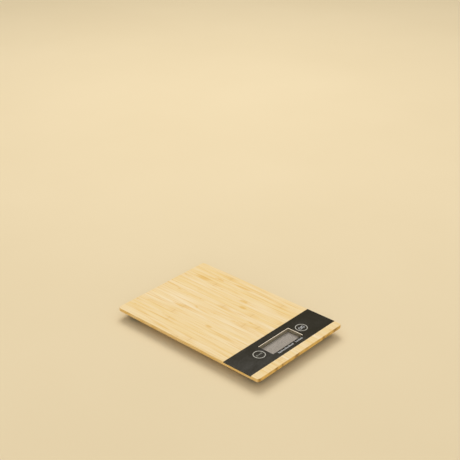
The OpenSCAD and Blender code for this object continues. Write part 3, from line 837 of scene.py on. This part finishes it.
def unit_arrows():
    """Two arrow heads on one line: the key steps through the units."""
    centre = key_centre("unit_key")
    shaft, tip_reach, barb = 2.9 * MM, 4.3 * MM, 1.1 * MM
    shape = bmesh.new()
    add_stroke(shape, [(centre.x - shaft, centre.y), (centre.x + shaft, centre.y)], icon_line)
    for side in (-1, 1):
        tip = centre.x + side * tip_reach
        back = tip - side * barb
        add_stroke(shape, [(back, centre.y - barb), (tip, centre.y), (back, centre.y + barb)], icon_line)
    return printed_piece(shape, "unit_arrows")


def tare_marks():
    """A power mark, a thin upright bar and a zero."""
    centre = key_centre("tare_key")
    power_x = centre.x - 2.4 * MM
    bar_x = centre.x + 0.5 * MM
    zero_x = centre.x + 2.7 * MM
    mark_r = 1.9 * MM
    bar_half, bar_line = 2 * MM, 0.35 * MM
    shape = bmesh.new()
    add_stroke(shape, arc((power_x, centre.y - 0.2 * MM), mark_r, mark_r, 125, 415, 32), icon_line)
    add_stroke(shape, [(power_x, centre.y + 0.1 * MM), (power_x, centre.y + 2.4 * MM)], icon_line)
    add_stroke(shape, [(bar_x, centre.y - bar_half), (bar_x, centre.y + bar_half)], bar_line)
    zero = arc((zero_x, centre.y), 1.15 * MM, 1.95 * MM, 0, 360, 32)[:-1]
    add_stroke(shape, zero, icon_line, closed=True)
    return printed_piece(shape, "tare_marks")


def capacity_scale():
    """Two groups of graduation ticks below the window, every fifth one longer."""
    foot_y = panel_centre.y - 15.5 * MM
    pitch = 1.25 * MM
    long_tick, short_tick = 3.0 * MM, 1.9 * MM
    groups = ((-20 * MM, 21), (10 * MM, 10))
    shape = bmesh.new()
    for start, count in groups:
        for i in range(count):
            x = start + i * pitch
            top_y = foot_y + (long_tick if i % 5 == 0 else short_tick)
            add_stroke(shape, [(x, foot_y), (x, top_y)], icon_line)
    return printed_piece(shape, "capacity_scale")


ring_ink = print_ink("ring_ink", (0.54, 0.53, 0.49), (0.44, 0.43, 0.39))
grey_ink = print_ink("grey_ink", (0.44, 0.44, 0.40), (0.34, 0.33, 0.30))
bright_ink = print_ink("bright_ink", (0.74, 0.76, 0.80), (0.62, 0.64, 0.68))
for key, plunger, mark, ink in (
    ("unit_key", "unit_plunger", unit_arrows(), grey_ink),
    ("tare_key", "tare_plunger", tare_marks(), bright_ink),
):
    cap = softened(key, key + "_cap", 0.2 * MM)
    fit(cap, key_black, key, "key_black", key)
    fit(key_ring(key), ring_ink, key, "key_black")
    fit(mark, ink, key, "key_black")
    paint(plunger, plunger_white)
fit(capacity_scale(), bright_ink, "platform", "panel_black")


# ---- Circuit board ----
# A fibreglass board with copper tracks under green solder mask. The chip sits under a drop of black
# resin; the small chips, the crystal and the two switch bodies are soldered to its face.


def solder_mask():
    """Green lacquer, paler over the tracks."""
    material, tree, shader = new_material("solder_mask")
    place = object_place(tree)
    black, white = (0, 0, 0), (1, 1, 1)
    tracks = add_node(
        tree,
        "ShaderNodeTexBrick",
        {
            "Vector": place,
            "Scale": 260.0,
            "Mortar Size": 0.03,
            "Color1": black,
            "Color2": black,
            "Mortar": white,
        },
    )
    weave = around(tree, stretched_noise(tree, place, (1300, 1300, 1300), detail=2), 0, 1)
    colour = blend_colour(tree, weave, (0.008, 0.09, 0.028), (0.012, 0.12, 0.035))
    lighter = blend_colour(tree, tracks.outputs["Color"], colour, (0.03, 0.20, 0.06))
    join(tree, lighter, shader.inputs["Base Color"])
    join(tree, calc(tree, "ADD", calc(tree, "MULTIPLY", weave, 0.1), 0.25), shader.inputs["Roughness"])
    raise_surface(tree, shader, tracks.outputs["Color"], 0.03 * MM)
    return material


paint("circuit_board", solder_mask())
resin_black = moulded("resin_black", (0.008, 0.008, 0.008), (0.014, 0.014, 0.013), 0.25, 900, 0.04 * MM)
drop = softened("chip_blob", "resin_drop", 0.1 * MM)
fit(drop, resin_black, "platform", "resin_black", "chip_blob")
paint("crystal", metal("tin_can", (0.74, 0.74, 0.72), (0.55, 0.55, 0.53), 0.25))
paint("capacitors", moulded("ceramic_tan", (0.45, 0.30, 0.16), (0.38, 0.25, 0.13), 0.5, 6000, 0.01 * MM))
paint("resistors", moulded("ceramic_black", (0.015, 0.015, 0.017), (0.03, 0.03, 0.03), 0.4, 6000, 0.01 * MM))
paint("switch_bodies", moulded("switch_black", (0.02, 0.02, 0.02), (0.035, 0.035, 0.035), 0.45))


# ---- Electronics tray and battery ----
# A black injection-moulded tray hangs under the board. Its battery door has two tabs in front and a
# sprung tongue at the back; a coin cell lies under two plated contacts.

case_black = moulded("case_black", (0.022, 0.022, 0.024), (0.029, 0.029, 0.031), 0.55)
tray = softened("electronics_tray", "tray", 0.4 * MM)
fit(tray, case_black, "platform", "moulding_black", "electronics_tray")

door_black = moulded("door_black", (0.026, 0.026, 0.028), (0.045, 0.045, 0.048), 0.5)
door = softened("battery_door", "battery_door_plate", 0.3 * MM)
fit(door, door_black, "battery_door", "moulding_black", "battery_door")
latch = softened("door_latch", "door_latch_tongue", 0.15 * MM)
fit(latch, door_black, "battery_door", "moulding_black", "door_latch")

door_low, door_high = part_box("battery_door")


def grip_ridges():
    """Low rounded bars near the latch, where a fingernail pulls the door."""
    ridge_l, ridge_w, ridge_h = 12 * MM, 0.9 * MM, 0.35 * MM
    from_back, pitch, count = 7 * MM, 1.8 * MM, 4
    shape = bmesh.new()
    for i in range(count):
        y = door_high.y - from_back - i * pitch
        profile = arc((y, door_low.z), ridge_w / 2, ridge_h, 180, 360, 8)
        ends = []
        for x in (-ridge_l / 2, ridge_l / 2):
            ends.append([shape.verts.new((x, py, pz)) for py, pz in profile])
        for k in range(len(profile) - 1):
            shape.faces.new((ends[0][k], ends[1][k], ends[1][k + 1], ends[0][k + 1]))
        shape.faces.new((ends[0][0], ends[0][-1], ends[1][-1], ends[1][0]))
        shape.faces.new(ends[0])
        shape.faces.new(reversed(ends[1]))
    bmesh.ops.recalc_face_normals(shape, faces=shape.faces)
    return finished_piece(shape, "grip_ridges")


fit(grip_ridges(), door_black, "battery_door", "moulding_black")

cell = softened("coin_cell", "lithium_cell", 0.06 * MM)
cell_steel = metal("cell_steel", (0.70, 0.69, 0.66), (0.58, 0.57, 0.54), 0.22, (40, 5000, 40))
fit(cell, cell_steel, "platform", "cell_steel", "coin_cell")
contact_plate = metal("contact_plate", (0.78, 0.62, 0.32), (0.60, 0.46, 0.22), 0.28)
paint("battery_contact_plus", contact_plate)
paint("battery_contact_minus", contact_plate)


# ---- Screws ----
# Blackened self-tapping screws with pan heads hold the tray and the pods; bright ones hold the
# circuit board. Each head has a cross recess for a small screwdriver.


def cross_reach(way, arm, width):
    """How far a cross-shaped recess goes from its centre in a given direction."""
    x, y = max(abs(way.x), 1e-6), max(abs(way.y), 1e-6)
    return max(min(arm / x, width / y), min(arm / y, width / x))


def cross_recessed(node, name, looking):
    """A copy of packed screws with a rounded rim and a cross recess in each head, all sized by the
    head's radius; looking is 1 for heads on top, else -1."""
    rim_drop, flat_r, arm, arm_half, floor_share, depth = 0.12, 0.86, 0.62, 0.17, 0.7, 0.28
    shape = clean_copy(node)
    low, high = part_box(node)
    head_z = high.z if looking > 0 else low.z
    heads = [f for f in shape.faces if abs(f.calc_center_median().z - head_z) < 0.01 * MM]
    inward = Vector((0, 0, -looking))
    for head in heads:
        centre = head.calc_center_median()
        rim = [loop.vert for loop in head.loops]
        head_r = (rim[0].co - centre).length
        bmesh.ops.delete(shape, geom=[head], context="FACES_ONLY")
        rings = [rim, [], [], []]
        for vert in rim:
            way = (vert.co - centre).normalized()
            cross_r = cross_reach(way, arm * head_r, arm_half * head_r)
            rings[1].append(shape.verts.new(centre + way * flat_r * head_r))
            rings[2].append(shape.verts.new(centre + way * cross_r))
            floor = centre + way * floor_share * cross_r + inward * depth * head_r
            rings[3].append(shape.verts.new(floor))
            vert.co += inward * rim_drop * head_r
        for outer, inner in zip(rings, rings[1:]):
            for i in range(len(rim)):
                j = (i + 1) % len(rim)
                shape.faces.new((outer[i], outer[j], inner[j], inner[i]))
        shape.faces.new(rings[3])
    return finished_piece(shape, name)


black_steel = metal("black_steel", (0.10, 0.10, 0.105), (0.05, 0.05, 0.05), 0.35)
bright_steel = metal("bright_steel", (0.72, 0.71, 0.69), (0.58, 0.57, 0.55), 0.25)
for node, looking, steel in (
    ("tray_screws", -1, black_steel),
    ("pod_screws", -1, black_steel),
    ("board_screws", 1, bright_steel),
):
    fit(cross_recessed(node, node + "_driven", looking), steel, "platform", "screw_steel", node)


# ---- Load-cell feet ----
# In each corner a moulded pod holds a plated steel load cell by its rim. The foot's cup pushes on the
# cell's tongue, the gauge is potted in white silicone, and a rubber pad stands on the table.


def pad_rubber():
    """Soft black rubber with a fine grain, a little dusty."""
    material, tree, shader = new_material("pad_rubber")
    place = object_place(tree)
    grain = around(tree, stretched_noise(tree, place, (1800, 1800, 1800), detail=3), 0, 1)
    dust = around(tree, stretched_noise(tree, place, (240, 240, 240), detail=4), 0, 1)
    colour = blend_colour(tree, dust, (0.012, 0.012, 0.012), (0.035, 0.034, 0.032))
    join(tree, colour, shader.inputs["Base Color"])
    join(tree, calc(tree, "ADD", calc(tree, "MULTIPLY", dust, 0.12), 0.72), shader.inputs["Roughness"])
    raise_surface(tree, shader, grain, 0.03 * MM)
    return material


foot_rubber = pad_rubber()
cell_plate = metal("load_cell_plate", (0.66, 0.67, 0.68), (0.50, 0.50, 0.51), 0.28)
potting = moulded("potting", (0.82, 0.82, 0.78), (0.74, 0.74, 0.69), 0.5, 1500, 0.06 * MM)
corners = ("front_left", "front_right", "rear_left", "rear_right")
for corner in corners:
    pod = softened("pod_housing_" + corner, "pod_" + corner, 0.35 * MM)
    fit(pod, case_black, "platform", "moulding_black", "pod_housing_" + corner)
    cup = softened("foot_cup_" + corner, "cup_" + corner, 0.35 * MM)
    fit(cup, case_black, "foot_" + corner, "moulding_black", "foot_cup_" + corner)
    pad = softened("foot_pad_" + corner, "pad_" + corner, 0.15 * MM)
    fit(pad, foot_rubber, "foot_" + corner, "pad_rubber", "foot_pad_" + corner)
    paint("load_cell_" + corner, cell_plate)
    paint("strain_gauge_" + corner, potting)


# ---- Wiring ----
# Thin PVC-covered wires: red, white and black from each load cell, red and black from the battery.
# Grooves under the board carry them; moulded strips close the two long grooves.


def insulation(name, colour, scuffed):
    """Smooth PVC."""
    return moulded(name, colour, scuffed, 0.35, 2500, 0.004 * MM)


wire_red = insulation("wire_red", (0.42, 0.012, 0.010), (0.34, 0.010, 0.008))
wire_white = insulation("wire_white", (0.78, 0.77, 0.74), (0.68, 0.67, 0.63))
wire_black = insulation("wire_black", (0.012, 0.012, 0.012), (0.02, 0.02, 0.02))


def separate_wires(mesh):
    """Lists of face numbers, one per wire, from the lowest X, then the lowest Y."""
    shape = bmesh.new()
    shape.from_mesh(mesh)
    shape.faces.ensure_lookup_table()
    bmesh.ops.remove_doubles(shape, verts=shape.verts, dist=same_point)
    left = set(shape.faces)
    wires = []
    while left:
        wave = [left.pop()]
        wire = list(wave)
        while wave:
            face = wave.pop()
            near = {other for edge in face.edges for other in edge.link_faces} & left
            left -= near
            wave.extend(near)
            wire.extend(near)
        middle = sum((f.calc_center_median() for f in wire), Vector()) / len(wire)
        wires.append((round(middle.x, 5), middle.y, [f.index for f in wire]))
    shape.free()
    return [faces for _, _, faces in sorted(wires)]


def paint_wires(node, materials):
    """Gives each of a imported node's wires its own colour."""
    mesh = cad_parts[node].data
    mesh.materials.clear()
    for material in materials:
        mesh.materials.append(material)
    for slot, faces in enumerate(separate_wires(mesh)):
        for index in faces:
            mesh.polygons[index].material_index = slot


for corner in corners:
    paint_wires("leads_" + corner, (wire_red, wire_white, wire_black))
paint_wires("battery_leads", (wire_black, wire_red))
for side in ("left", "right"):
    strip = softened("lead_cover_" + side, "groove_cover_" + side, 0.2 * MM)
    fit(strip, case_black, "platform", "moulding_black", "lead_cover_" + side)
